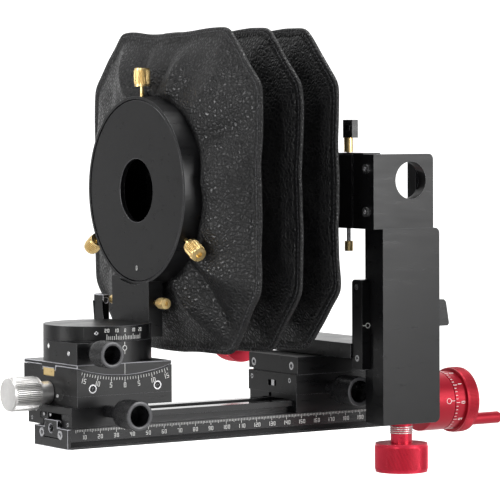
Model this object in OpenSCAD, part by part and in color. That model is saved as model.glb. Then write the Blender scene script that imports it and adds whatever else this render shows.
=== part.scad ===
/* [Rail] */
// Length of the rail with its front cap
rail_len = 244; // [244:2:300]
// Width of the rail
rail_w = 36.8; // [36:0.2:38]
// Radius of the lead screw that runs in the rail
screw_r = 3.5; // [3:0.1:3.5]
// Height of the lead screw's axis above the rail's underside
screw_z = 10.3; // [10:0.1:10.6]

/* [Optics] */
// Distance of the optical axis to the side of the rail's centre line
axis_x = -11; // [-12:0.5:-10]
// Height of the optical axis above the rail's underside
axis_z = 138; // [137:0.5:139]
// Outer radius of the round lens standard ring
ring_r = 51.75; // [51:0.25:52]
// Radius of the hole in the lens board, for a size 0 shutter
board_hole_r = 17.4; // [12:0.1:24]

/* [Tilt and swing] */
// Radius of the tilt arc
tilt_r = 95; // [94:0.5:96]
// Height of the tilt axis
tilt_z = 133; // [132:0.5:134]
// Side length of the tilt stage
stage_w = 59; // [58:0.5:60]
// Radius of the swing disc
swing_r = 29.5; // [29:0.25:30]

/* [Bellows] */
// Half width of the bellows at its three outer folds
fold_h = 87.3; // [80:0.1:90]
// Corner cut of the outer folds
fold_cut = 30; // [24:1:34]
// Half width of the bellows at its inner folds
valley_h = 48; // [46:1:52]
// Thickness of the bellows leather in the solid
skin = 1.0; // [0.8:0.1:1.2]

/* [Rear standard] */
// Height of the column
column_h = 108; // [107:0.5:109]
// Thickness of the column
column_w = 15; // [15:0.5:18]
// Half width of the rear frame
frame_h = 38; // [37:0.5:39]
// Bore radius of the camera mount
mount_r = 23; // [20:0.5:24]

/* [Clearances] */
// Gap between parts that slide past each other
gap = 0.3; // [0.25:0.05:0.4]
// Radial clearance of a shaft in its bore
run = 0.05; // [0.02:0.01:0.08]

/* [Hidden] */

$fn = 96;
y_rear = 119;                  // rear end of the rail
y_front = y_rear - rail_len;   // front end of the rail
ring_z = axis_z - 1.3;         // centre of the round lens standard
hw = rail_w / 2;
yc = -89.5;                    // tilt and swing axis, along the rail
half = stage_w / 2;
sx0 = axis_x - half;
sx1 = axis_x + half;
sy0 = yc - half;
sy1 = yc + half;
tkx = -12.5;                   // tilt knob axis
tkz = 28.4;
post_y = -66;
knob_y = 62;                   // rise knob axis
colx0 = 55;
colx1 = colx0 + column_w;
col_z0 = 7;
col_z1 = col_z0 + column_h;

black = [0.13, 0.13, 0.14];
steel = [0.72, 0.72, 0.74];
brass = [0.85, 0.70, 0.38];
red = [0.80, 0.12, 0.22];
leather = [0.07, 0.07, 0.075];

module box(x0, x1, y0, y1, z0, z1) { translate([x0, y0, z0]) cube([x1 - x0, y1 - y0, z1 - z0]); }
module cylx(r, x0, x1, y, z) { translate([x0, y, z]) rotate([0, 90, 0]) cylinder(r = r, h = x1 - x0); }
module cyly(r, y0, y1, x, z) { translate([x, y0, z]) rotate([-90, 0, 0]) cylinder(r = r, h = y1 - y0); }
module cylz(r, z0, z1, x, y) { translate([x, y, z0]) cylinder(r = r, h = z1 - z0); }
module sockx(r, x0, x1, y, z) { translate([x0, y, z]) rotate([0, 90, 0]) cylinder(r = r, h = x1 - x0, $fn = 6); }
module socky(r, y0, y1, x, z) { translate([x, y0, z]) rotate([-90, 0, 0]) cylinder(r = r, h = y1 - y0, $fn = 6); }

// Hollow clamping knob on a slim neck, axis along +X, neck starting at x0
module hollow_knob(x0, x1, x2, rn, rk, rh, y, z) {
  difference() {
    union() {
      cylx(rn, x0, x1 + 0.5, y, z);
      cylx(rk, x1, x2, y, z);
    }
    cylx(rh, x2 - 12, x2 + 1, y, z);
  }
}

// Knurled brass thumb screw, axis +Z, underside of its head at h0
module thumb_screw(r_stem, z0, h0, h1, r_head) {
  difference() {
    union() {
      cylinder(r = r_stem, h = h0 + 0.5 - z0);
      translate([0, 0, h0 - z0]) cylinder(r = r_head, h = h1 - h0);
    }
    translate([0, 0, h1 - z0 - 1.6]) cylinder(r = r_head * 0.42, h = 3);
  }
}

// ---- rail ----
module rail_section() {
  polygon([[hw, 0], [hw, 1.2], [hw - 3, 1.2], [hw - 3, 4.1], [hw, 4.1], [hw, 11], [12, 11], [12, 15], [15.4, 15], [15.4, 18],
           [7.5, 18], [7.5, 5.3], [-7.5, 5.3], [-7.5, 18], [-15.4, 18], [-15.4, 15], [-12, 15], [-12, 11],
           [-hw, 11], [-hw, 4.1], [-hw + 3, 4.1], [-hw + 3, 1.2], [-hw, 1.2], [-hw, 0]]);
}
module rail() {
  color(black) difference() {
    translate([0, y_rear, 0]) rotate([90, 0, 0]) linear_extrude(rail_len - 2) rail_section();
    box(-17, 17, y_front + 1, y_front + 2.6, 11, 19);
    cylz(4.0, -1, 4.8, 0, 0);
    for (s = [-1, 1]) cylz(3.2, -1, 4.8, 0, s * 40);
    for (s = [-1, 1]) cyly(1.5, y_front + 1, y_front + 9, s * 10, 7.4);
  }
}
module rail_front_cap() {
  color(black) difference() {
    union() {
      box(-hw, hw, y_front, y_front + 2, 0, 11);
      box(-7, 7, y_front, y_front + 2, 10.9, 15);
    }
    cyly(2.3, y_front - 1, y_front + 3, 0, screw_z);
    cyly(3 + run, y_front + 1, y_front + 3, 0, screw_z);
    for (s = [-1, 1]) { cyly(1.5, y_front - 1, y_front + 3, s * 10, 7.4); cyly(2.2, y_front - 1, y_front + 1.2, s * 10, 7.4); }
  }
}
module rail_cap_screws() {
  color(steel) for (s = [-1, 1]) difference() {
    union() {
      cyly(1.5, y_front + 0.5, y_front + 8.5, s * 10, 7.4);
      cyly(2.2, y_front, y_front + 1.2, s * 10, 7.4);
    }
    socky(1.3, y_front - 1, y_front + 0.9, s * 10, 7.4);
  }
}
module index_collar() {
  color(red) difference() {
    cyly(17, y_rear, y_rear + 15.3, 0, screw_z);
    cyly(3 + run, y_rear - 1, y_rear + 17, 0, screw_z);
  }
}

// ---- drive ----
module lead_screw() {
  color(steel) difference() {
    union() {
      cyly(3, y_front + 1.3, y_front + 6, 0, screw_z);
      cyly(screw_r, y_front + 5.8, y_rear - 4, 0, screw_z);
      cyly(3, y_rear - 4.2, y_rear + 22, 0, screw_z);
    }
    cyly(2.2, y_front, y_front + 9, 0, screw_z);
  }
}
module handwheel() {
  color(red) difference() {
    union() {
      difference() {
        union() {
          cyly(17, y_rear + 15.6, y_rear + 23.4, 0, screw_z);
          cyly(18.85, y_rear + 23.2, y_rear + 31.3, 0, screw_z);
        }
        // recessed face around the hub
        difference() {
          cyly(15.6, y_rear + 29.3, y_rear + 33, 0, screw_z);
          cyly(6, y_rear + 29, y_rear + 34, 0, screw_z);
          cyly(3.5, y_rear + 29, y_rear + 34, 8, -1);
        }
      }
      cyly(1.6, y_rear + 30, y_rear + 53.6, 8, -1);
      cyly(2.6, y_rear + 53.3, y_rear + 54.3, 8, -1);
    }
    cyly(3, y_rear + 10, y_rear + 22, 0, screw_z);
  }
}
module crank_grip() {
  color(red) difference() {
    cyly(3.5, y_rear + 31.7, y_rear + 53, 8, -1);
    cyly(1.6 + run, y_rear + 30, y_rear + 54, 8, -1);
  }
}

// ---- carriages ----
module t_slot(y0, y1) {
  box(-12 - gap, 12 + gap, y0 - 1, y1 + 1, 10, 16);
  box(-15.4 - gap, 15.4 + gap, y0 - 1, y1 + 1, 15 - gap, 18 + gap);
}
fc_y0 = -122.7;
fc_y1 = -75;
module front_carriage() {
  color(black) difference() {
    box(-29, hw, fc_y0, fc_y1, 11 + gap, 22);
    t_slot(fc_y0, fc_y1);
    cylx(2 + run, 15, 20, -100.5, 19.6);
    for (q = [[-25.2, 14], [-20.5, 19], [14.3, 13]]) cyly(1.1, fc_y0 - 1, fc_y0 + 5, q[0], q[1]);
  }
}
module front_carriage_screws() {
  color(steel) for (q = [[-25.2, 14], [-20.5, 19], [14.3, 13]]) difference() {
    cyly(1.1, fc_y0 + 0.1, fc_y0 + 5, q[0], q[1]);
    socky(0.65, fc_y0 - 1, fc_y0 + 1.2, q[0], q[1]);
  }
}
module front_lock_knob() {
  color(black) union() {
    cylx(2, 16.2, 20, -100.5, 19.6);
    hollow_knob(hw + gap, 37, 52.4, 3.3, 7.7, 5.7, -100.5, 19.6);
  }
}
module gonio_base_plate() {
  color(black) difference() {
    box(sx0, sx1, sy0, sy1, 22, 28);
    cyly(4.7, -101, -78, tkx, tkz);
    cyly(2.6 + run, sy0 - 1, -100, tkx, tkz);
  }
}
module gonio_lower_body() {
  color(black) difference() {
    box(sx0, sx1, sy0, sy1, 28, 48);
    cylx(tilt_r, sx0 - 1, sx1 + 1, yc, tilt_z);
    // channels for the cradle's tongue and for the rack
    intersection() {
      box(-21.3, -4.7, sy0 - 1, sy1 + 1, 30, 48);
      cylx(tilt_r + 2.3, sx0 - 1, sx1 + 1, yc, tilt_z);
    }
    intersection() {
      box(-19.3, -6.7, sy0 - 1, sy1 + 1, 30, 48);
      cylx(100.3, sx0 - 1, sx1 + 1, yc, tilt_z);
    }
    cyly(4.7, -101, -78, tkx, tkz);
    cyly(2.6 + run, sy0 - 1, -100, tkx, tkz);
    for (y = [-109.4, -69]) cylx(2.4, sx1 - 6, sx1 + 1, y, 31.9);
  }
}
module gonio_screws() {
  color(steel) for (y = [-109.4, -69]) difference() {
    cylx(2.4, sx1 - 6, sx1 - 0.1, y, 31.9);
    sockx(1.1, sx1 - 1.8, sx1 + 1, y, 31.9);
  }
}
module tilt_bearing() {
  color(steel) difference() {
    cyly(6.2, sy0 - 7.7, sy0, tkx, tkz);
    cyly(2.6 + run, sy0 - 9, sy0 + 1, tkx, tkz);
  }
}
module tilt_knob() {
  color([0.75, 0.74, 0.72]) difference() {
    cyly(8.8, sy0 - 25.2, sy0 - 8, tkx, tkz);
    cyly(2.6, sy0 - 18, sy0 - 7, tkx, tkz);
  }
}
module tilt_worm() {
  color(steel) difference() {
    union() {
      cyly(2.6, sy0 - 18, -79.2, tkx, tkz);
      cyly(4.1, -99.6, -79.2, tkx, tkz);
    }
    for (i = [0:3]) translate([tkx, -97.6 + i * 4.276, tkz]) rotate([-90, 0, 0]) difference() {
      cylinder(r = 6, h = 1.6);
      translate([0, 0, -1]) cylinder(r = 3.1, h = 4);
    }
  }
}

// ---- tilt cradle and swing ----
module gonio_cradle() {
  color(black) difference() {
    union() {
      intersection() {
        box(sx0, sx1, sy0, sy1, 36, 45);
        cylx(tilt_r - gap, sx0 - 1, sx1 + 1, yc, tilt_z);
      }
      intersection() {
        box(-21, -5, sy0, sy1, 30, 44);
        cylx(tilt_r + 2, sx0 - 1, sx1 + 1, yc, tilt_z);
      }
    }
    difference() {
      box(-19, -7, sy0 - 1, sy1 + 1, 30, 44);
      cylx(tilt_r + 1, -25, 0, yc, tilt_z);
    }
  }
}
module tilt_rack() {
  color(brass) difference() {
    intersection() {
      box(-19, -7, sy0 + 0.2, sy1 - 0.2, 30, 48);
      cylx(100, -20, -6, yc, tilt_z);
    }
    cylx(tilt_r + 1, -21, -5, yc, tilt_z);
    for (a = [-15:2.5:15]) translate([-21, yc, tilt_z]) rotate([a, 0, 0]) box(0, 16, -0.8, 0.8, -101, -98.8);
  }
}
module swing_base() {
  color(black) difference() {
    union() {
      cylz(swing_r, 45, 56.5, axis_x, yc);
      box(axis_x, axis_x + swing_r, sy0, yc, 45, 56.5);
    }
    cylz(6 + run, 47, 58, axis_x, yc);
    cylx(2.2 + run, 8, 20, -109.8, 51.5);
  }
}
module swing_lock_knob() {
  color(black) union() {
    cylx(2.2, 9, 20, -109.8, 51.5);
    hollow_knob(axis_x + swing_r + gap, 27.5, 40.3, 3.4, 6.95, 5.1, -109.8, 51.5);
  }
}
module swing_disc() {
  color(black) union() {
    difference() {
      cylz(swing_r, 56.5 + gap, 64.9, axis_x, yc);
      box(-60, 40, post_y, -50, 50, 70);
    }
    cylz(6, 47.5, 57.5, axis_x, yc);
  }
}
module lens_post() {
  color(black) difference() {
    union() {
      box(-27, 4.5, post_y, -57.2, 56.5 + gap, 88.4);
      box(-37.5, -26.5, post_y + 1.5, -57.2, 56.5 + gap, 89);
    }
    cyly(ring_r, -70, -50, axis_x, ring_z);
    cylx(1.3 + run, -2, 6, -61.5, 75.5);
    cylx(1.3 + run, -40, -25, -61, 75.2);
  }
}
module post_side_lug() {
  color(black) difference() {
    union() {
      box(-55.5, -45, -66, -61.9, 56.5 + gap, 78);
      box(-55.5, -37.5, -64, -57.2, 56.5 + gap, 63.5);
    }
    cylx(1.3 + run, -60, -40, -64, 74.5);
  }
}
module lens_ring() {
  color(black) difference() {
    cyly(ring_r, -64.5, -53, axis_x, ring_z);
    cyly(44, -70, -50, axis_x, ring_z);
    cyly(50.2, -70, -61.2, axis_x, ring_z);
    for (a = [90, -30, 210]) translate([axis_x, -59.9, ring_z]) rotate([0, 90 - a, 0]) cylinder(r = 1.1 + run, h = 60);
  }
}
module lens_board() {
  color(black) difference() {
    cyly(49.75, -64.2, -61.2, axis_x, ring_z);
    cyly(board_hole_r, -70, -50, axis_x, ring_z);
  }
}
module clamp_screw_right() {
  color(brass) translate([-0.5, -61.5, 75.5]) rotate([0, 90, 0]) thumb_screw(1.3, 0, 9.2, 16.2, 2.9);
}
module clamp_screw_left() {
  color(brass) translate([-30.5, -61, 75.2]) rotate([0, -90, 0]) thumb_screw(1.3, 0, 8.2, 12.6, 2.4);
}
module lens_screw(a) {
  translate([axis_x, -59.9, ring_z]) rotate([0, 90 - a, 0]) translate([0, 0, 50.2]) thumb_screw(1.1, 50.2, 57.2, 67.2, 4.1);
}
module lens_screw_top() { color(brass) lens_screw(90); }
module lens_screw_left() { color(brass) lens_screw(210); }
module lens_screw_right() { color(brass) lens_screw(-30); }

// ---- bellows ----
// Corners of an octagon of half width h with corner cut c
function oct(h, c) = [[h, h - c], [h - c, h], [c - h, h], [-h, h - c], [-h, c - h], [c - h, -h], [h - c, -h], [h, c - h]];
// One leather wall between two octagons, given as [half width, corner cut, y]
module wall(a, b) {
  p = [for (k = [0:7]) each [
    [axis_x + oct(a[0], a[1])[k][0], a[2], axis_z + oct(a[0], a[1])[k][1]],
    [axis_x + oct(a[0], a[1])[k][0], a[2] + skin, axis_z + oct(a[0], a[1])[k][1]],
    [axis_x + oct(b[0], b[1])[k][0], b[2] + skin, axis_z + oct(b[0], b[1])[k][1]],
    [axis_x + oct(b[0], b[1])[k][0], b[2], axis_z + oct(b[0], b[1])[k][1]]]];
  f = [for (k = [0:7], j = [0:3]) each [
    [k * 4 + j, ((k + 1) % 8) * 4 + j, ((k + 1) % 8) * 4 + (j + 1) % 4],
    [k * 4 + j, ((k + 1) % 8) * 4 + (j + 1) % 4, k * 4 + (j + 1) % 4]]];
  // the winding depends on whether the wall widens or narrows towards +Y
  if (a[0] > b[0]) polyhedron(p, f);
  else polyhedron(p, [for (q = f) [q[2], q[1], q[0]]]);
}
c1 = fold_cut;
hm = (fold_h + valley_h) / 2;
cv = 20;
cm = 25;
module bellows_front_panel() { color(leather) wall([46, 27, -51.2], [68, 27, -45.3]); }
module bellows_front_border() { color(leather) wall([68.4, 27, -45.2], [fold_h, c1, -40]); }
module bellows_fold_1_back() { color(leather) wall([fold_h, c1, -38.7], [valley_h, cv, -27.5]); }
module bellows_fold_2_front_inner() { color(leather) wall([valley_h, cv, -26.2], [hm, cm, -20.2]); }
module bellows_fold_2_front_outer() { color(leather) wall([hm + 0.4, cm, -20.1], [fold_h, c1, -13.9]); }
module bellows_fold_2_back_outer() { color(leather) wall([fold_h, c1, -12.6], [hm + 0.4, cm, -7.6]); }
module bellows_fold_2_back_inner() { color(leather) wall([hm, cm, -7.5], [valley_h, cv, -2.3]); }
module bellows_fold_3_front_inner() { color(leather) wall([valley_h, cv, -1], [hm, cm, 4.7]); }
module bellows_fold_3_front_outer() { color(leather) wall([hm + 0.4, cm, 4.8], [fold_h, c1, 10.2]); }
module bellows_fold_3_back_outer() { color(leather) wall([fold_h, c1, 11.5], [63.4, cm, 17.2]); }
module bellows_rear_sleeve() {
  color(leather) union() {
    wall([63, cm, 17.3], [38, 14, 22.7]);
    translate([axis_x, 22.8, axis_z]) rotate([90, 0, 0]) mirror([0, 0, 1]) linear_extrude(9.9) difference() {
      polygon(oct(38, 14));
      polygon(oct(36.6, 13.4));
    }
  }
}

// ---- rear carriage ----
rc_y0 = 21.5;
rc_y1 = 80;
module rear_carriage() {
  color(black) difference() {
    box(-29, hw, rc_y0, rc_y1, 11 + gap, 21.3);
    t_slot(rc_y0, rc_y1);
    cyly(1.4, rc_y0 - 1, rc_y0 + 5, -8, 19.8);
  }
}
module rear_carriage_plate() {
  color(black) difference() {
    box(-30.4, hw, rc_y0, rc_y1, 21.3, 32.5);
    cylx(2.2 + run, 8, 20, 44.6, 24.2);
    for (x = [-27, 11.5]) cyly(1.4, rc_y0 - 1, rc_y0 + 5, x, 28.9);
    box(-10, -2, rc_y0 - 1, rc_y0 + 3, 24.8, 28.2);
  }
}
module shift_base() {
  color(black) difference() {
    union() {
      box(-31.5, hw, rc_y0 + 1.1, rc_y1, 32.5, 42.4);
      box(-10, 2, 51.5, 60.5, 42, 49.6);
    }
    box(-33, -27, rc_y0, rc_y1 + 1, 32, 33.6);
    box(-33, 20, 65.7, 72.3, 36.7, 45);
    cylx(3 + run, -12, 4, 56, 45.9);
    for (x = [-26.7, 11.8]) cyly(2.3, rc_y0, rc_y0 + 6, x, 37.1);
  }
}
module rear_carriage_screws() {
  color(steel) union() {
    for (x = [-26.7, 11.8]) difference() {
      cyly(2.3, rc_y0 + 1.2, rc_y0 + 6, x, 37.1);
      socky(1.2, rc_y0 - 1, rc_y0 + 2.6, x, 37.1);
    }
    for (x = [-27, 11.5]) difference() {
      cyly(1.4, rc_y0 + 0.1, rc_y0 + 5, x, 28.9);
      socky(0.8, rc_y0 - 1, rc_y0 + 1.2, x, 28.9);
    }
    box(-7.6, -4.6, rc_y0 + 0.5, rc_y0 + 3, 24.8, 28.2);
  }
}
module screw_nut() {
  color(brass) difference() {
    box(-7.2, 7.2, 42, 60, 5.6, 18 + gap);
    cyly(screw_r + run, 41, 61, 0, screw_z);
  }
}
module rear_lock_knob() {
  color(black) union() {
    cylx(2.2, 9, 20, 44.6, 24.2);
    hollow_knob(hw + gap, 30, 47.6, 3.6, 8, 6.2, 44.6, 24.2);
  }
}

// ---- shift slide ----
bar_y0 = 40;
bar_y1 = 75;
module shift_bar() {
  color(black) difference() {
    union() {
      box(-70, brx0, bar_y0, bar_y1, 42.4 + gap, 51);
      box(-60, brx0, 66, 72, 37, 43.5);
    }
    box(-30, 22, 51.2, 60.8, 42, 49.9);
    cylx(3 + run, -71, 30, 56, 45.9);
  }
}
brx0 = 45.2;                    // bracket, inner and outer side
brx1 = 54.8;
lip_x0 = 50;                    // inner side of the column's lip
module rise_bracket() {
  color(black) difference() {
    union() {
      box(brx0, brx1, 41, 86.4, 37, 84.1);
      box(brx0 + 2.5, brx1 - 2.5, 41, 86.4, 84, 86.6);
      for (x = [brx0 + 2.5, brx1 - 2.5]) cyly(2.5, 41, 86.4, x, 84.1);
      box(49, 66.2, 57, 67, 52, 62);
    }
    // slot for the lip of the column
    difference() {
      box(lip_x0 - gap - 0.1, 60, 46.4, 81.1, 30, 90);
      box(40, 66.2, 57, 67, 52, 62);
    }
    cylz(3 + run, 50, 64, 62.5, knob_y);
    cyly(1.8, 40, 45, 50.1, 43);
    cyly(1.6, 40, 45, 49.6, 82.6);
  }
}
module bracket_screws() {
  color(steel) union() {
    difference() {
      cyly(1.8, 40.9, 45, 50.1, 43);
      socky(1.0, 40, 42.4, 50.1, 43);
    }
    difference() {
      cyly(1.6, 40.9, 45, 49.6, 82.6);
      socky(0.9, 40, 42.4, 49.6, 82.6);
    }
  }
}
module shift_knob() {
  color(red) union() {
    cylx(3, -72, 24, 56, 45.9);
    cylx(5.75, -90, -70.3, 56, 45.9);
    cylx(14.9, -103, -89, 56, 45.9);
  }
}

// ---- rise column ----
module column() {
  color(black) difference() {
    union() {
      // outer plate with a rounded rear corner at its top and bottom
      box(60.4, colx1, 44.5, 80, col_z0, col_z1);
      box(60.4, colx1, 79, 83, col_z0 + 3, col_z1 - 3);
      for (z = [col_z0 + 3, col_z1 - 3]) cylx(3, 60.4, colx1, 80, z);
      // lip that slides in the bracket
      box(lip_x0, 60.5, 46.7, 80.8, col_z0, col_z1);
    }
    // slot for the nut on the bracket
    box(lip_x0 - 1, 66.6, 56.6, 67.4, 33, 81);
    cylz(3 + run, col_z0 - 1, 100, 62.5, knob_y);
    cyly(2 + run, 74, 84, 65.5, 67);
    cylz(1, col_z0 - 1, col_z0 + 5, 68, 62.5);
  }
}
module rear_arm() {
  color(black) difference() {
    union() {
      box(colx1 - 7, colx1, 38.4, 75.8, col_z1, 156);
      box(colx1 - 7, colx1, 75, 78.8, col_z1, 153);
      cylx(3, colx1 - 7, colx1, 75.8, 153);
      box(27, colx1, 38.4, 50, col_z1, 156);
      box(27, 60, 38.6, 50, col_z1, 156.7);
      box(55.5, colx1 - 6.5, 71.8, 78, col_z1, 155.4);
    }
    cylx(10.3, colx1 - 7, 80, 63.4, 141.5);
    // shallow recess down the front
    box(49.3, 56.5, 37, 39.3, col_z1 - 1, 158);
    cylz(1.15 + run, 100, 160, 36.7, 45);
    for (z = [148, 124.4]) cyly(1.7, 37, 44, 63.1, z);
  }
}
module arm_screws() {
  color(steel) for (z = [148, 124.4]) difference() {
    union() {
      cyly(1.7, 38, 44, 63.1, z);
      cyly(2.7, 37.3, 38.4, 63.1, z);
    }
    socky(1.35, 36, 38.3, 63.1, z);
  }
}
module rear_frame() {
  color(black) difference() {
    box(axis_x - frame_h, axis_x + frame_h, 33, 41, axis_z - frame_h, axis_z + frame_h);
    cyly(27, 30, 45, axis_x, axis_z);
  }
}
module camera_mount() {
  color(steel) difference() {
    cyly(29, 41, 46, axis_x, axis_z);
    cyly(mount_r, 40, 47, axis_x, axis_z);
  }
}
module rise_knob() {
  color(red) union() {
    cylz(3, -2, 98, 62.5, knob_y);
    cylz(6, -5, 6.7, 62.5, knob_y);
    cylz(14.5, -19.9, -4.1, 62.5, knob_y);
  }
}
module rise_lock_lever() {
  color(black) union() {
    cyly(2, 75, 86, 65.5, 67);
    translate([61.5, 0, 0]) rotate([90, 0, 90]) linear_extrude(8)
      polygon([[83.3, 60.3], [89, 60.3], [90, 61.6], [87.9, 73.6], [86.6, 75], [83.3, 75]]);
  }
}
module latch_lever() {
  color(brass) union() {
    cylz(1.15, 102.5, 172, 36.7, 45);
    cylz(2.35, 102, 107.6, 36.7, 45);
    cylz(2.5, 157, 165.2, 36.7, 45);
    difference() {
      box(34.2, 43.1, 43, 47, 165, 175);
      box(36.2, 41.1, 40, 50, 169, 172);
    }
  }
}

rail();
rail_front_cap();
rail_cap_screws();
index_collar();
lead_screw();
handwheel();
crank_grip();
front_carriage();
front_carriage_screws();
gonio_base_plate();
gonio_lower_body();
gonio_screws();
tilt_bearing();
front_lock_knob();
tilt_knob();
tilt_worm();
gonio_cradle();
tilt_rack();
swing_base();
swing_lock_knob();
swing_disc();
lens_post();
post_side_lug();
lens_ring();
lens_board();
clamp_screw_right();
clamp_screw_left();
lens_screw_top();
lens_screw_left();
lens_screw_right();
bellows_front_panel();
bellows_front_border();
bellows_fold_1_back();
bellows_fold_2_front_inner();
bellows_fold_2_front_outer();
bellows_fold_2_back_outer();
bellows_fold_2_back_inner();
bellows_fold_3_front_inner();
bellows_fold_3_front_outer();
bellows_fold_3_back_outer();
bellows_rear_sleeve();
rear_carriage();
rear_carriage_plate();
shift_base();
rear_carriage_screws();
screw_nut();
rear_lock_knob();
shift_bar();
rise_bracket();
bracket_screws();
shift_knob();
column();
rear_arm();
arm_screws();
rear_frame();
camera_mount();
rise_knob();
rise_lock_lever();
latch_lever();
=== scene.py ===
import math
import random
import bpy
import numpy as np
from mathutils import Matrix, Vector, noise


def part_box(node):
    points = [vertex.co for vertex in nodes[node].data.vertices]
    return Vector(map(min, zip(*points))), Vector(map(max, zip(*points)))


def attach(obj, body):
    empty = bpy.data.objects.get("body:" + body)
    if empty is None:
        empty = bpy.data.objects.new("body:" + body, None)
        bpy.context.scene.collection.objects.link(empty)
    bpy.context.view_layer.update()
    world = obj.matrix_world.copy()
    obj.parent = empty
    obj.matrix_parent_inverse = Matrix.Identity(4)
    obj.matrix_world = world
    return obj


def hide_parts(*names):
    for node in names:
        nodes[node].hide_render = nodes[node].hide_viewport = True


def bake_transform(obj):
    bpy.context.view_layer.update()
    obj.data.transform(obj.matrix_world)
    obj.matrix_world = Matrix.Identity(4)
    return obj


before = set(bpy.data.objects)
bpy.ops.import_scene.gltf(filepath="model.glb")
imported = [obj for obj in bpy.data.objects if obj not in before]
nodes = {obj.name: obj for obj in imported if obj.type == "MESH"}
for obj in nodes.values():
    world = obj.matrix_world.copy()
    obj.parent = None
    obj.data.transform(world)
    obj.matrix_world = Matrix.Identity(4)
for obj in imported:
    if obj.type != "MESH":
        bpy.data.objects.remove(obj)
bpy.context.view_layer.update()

random.seed(7)
MM = 0.001
scene = bpy.context.scene

# ------------------------------------------------------------------ camera
AZ, EL, ROLL = math.radians(56.99), math.radians(2.54), math.radians(-0.30)
back = Vector((math.sin(AZ) * math.cos(EL), -math.cos(AZ) * math.cos(EL), math.sin(EL)))
fwd = -back
right = fwd.cross(Vector((0, 0, 1))).normalized()
up = right.cross(fwd)
r2 = right * math.cos(ROLL) + up * math.sin(ROLL)
u2 = -right * math.sin(ROLL) + up * math.cos(ROLL)
cam_data = bpy.data.cameras.new("camera")
cam_data.sensor_width = 36.0
cam_data.lens = 2848.45 * 36.0 / 500.0
cam_data.clip_start, cam_data.clip_end = 0.05, 50.0
cam = bpy.data.objects.new("camera", cam_data)
scene.collection.objects.link(cam)
cam.matrix_world = Matrix(((r2.x, u2.x, back.x, 1.33664), (r2.y, u2.y, back.y, -0.86521), (r2.z, u2.z, back.z, 0.17311), (0, 0, 0, 1)))
scene.camera = cam

# ------------------------------------------------------------------ small helpers
def link(o):
    scene.collection.objects.link(o)
    return o


def mesh_obj(name, verts, faces, mats, smooth=True):
    me = bpy.data.meshes.new(name)
    me.from_pydata([tuple(v) for v in verts], [], faces)
    me.update()
    for m in (mats if isinstance(mats, (list, tuple)) else [mats]):
        me.materials.append(m)
    if smooth:
        me.polygons.foreach_set("use_smooth", [True] * len(me.polygons))
    o = bpy.data.objects.new(name, me)
    return link(o)


class Tree:
    """A thin helper for building node materials."""

    def __init__(self, name):
        self.mat = bpy.data.materials.new(name)
        self.mat.use_nodes = True
        self.nt = self.mat.node_tree
        self.nt.nodes.clear()
        self.out = self.nt.nodes.new("ShaderNodeOutputMaterial")
        self.bsdf = self.nt.nodes.new("ShaderNodeBsdfPrincipled")
        self.nt.links.new(self.bsdf.outputs[0], self.out.inputs["Surface"])
        self.coord = self.nt.nodes.new("ShaderNodeTexCoord")

    def n(self, kind, **values):
        node = self.nt.nodes.new(kind)
        for k, v in values.items():
            if hasattr(node, k):
                setattr(node, k, v)
            else:
                node.inputs[k].default_value = v
        return node

    def link(self, a, b):
        self.nt.links.new(a, b)

    def set(self, **values):
        for k, v in values.items():
            self.bsdf.inputs[k.replace("_", " ")].default_value = v

    def mapping(self, scale=(1, 1, 1), rot=(0, 0, 0)):
        m = self.n("ShaderNodeMapping")
        m.inputs["Scale"].default_value = scale
        m.inputs["Rotation"].default_value = rot
        self.link(self.coord.outputs["Object"], m.inputs["Vector"])
        return m.outputs["Vector"]

    def noise(self, scale, detail=2.0, rough=0.5, vec=None, distortion=0.0):
        t = self.n("ShaderNodeTexNoise", Scale=scale, Detail=detail, Roughness=rough, Distortion=distortion)
        self.link(vec or self.coord.outputs["Object"], t.inputs["Vector"])
        return t.outputs["Fac"]

    def ramp(self, fac, stops):
        r = self.n("ShaderNodeValToRGB")
        e = r.color_ramp.elements
        while len(e) < len(stops):
            e.new(0.5)
        for el, (p, c) in zip(e, stops):
            el.position = p
            el.color = (*c, 1) if len(c) == 3 else c
        self.link(fac, r.inputs["Fac"])
        return r.outputs["Color"]

    def range(self, fac, a, b, c, d):
        m = self.n("ShaderNodeMapRange")
        for k, v in zip(("From Min", "From Max", "To Min", "To Max"), (a, b, c, d)):
            m.inputs[k].default_value = v
        self.link(fac, m.inputs["Value"])
        return m.outputs["Result"]

    def math(self, op, a, b=None, clamp=False):
        m = self.n("ShaderNodeMath", operation=op, use_clamp=clamp)
        for i, x in enumerate((a, b)):
            if x is None:
                continue
            if isinstance(x, (int, float)):
                m.inputs[i].default_value = x
            else:
                self.link(x, m.inputs[i])
        return m.outputs[0]

    def bump(self, height, strength, distance, normal=None):
        b = self.n("ShaderNodeBump", Strength=strength, Distance=distance)
        self.link(height, b.inputs["Height"])
        if normal is not None:
            self.link(normal, b.inputs["Normal"])
        return b.outputs["Normal"]

    def to(self, socket, name):
        self.link(socket, self.bsdf.inputs[name])


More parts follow.
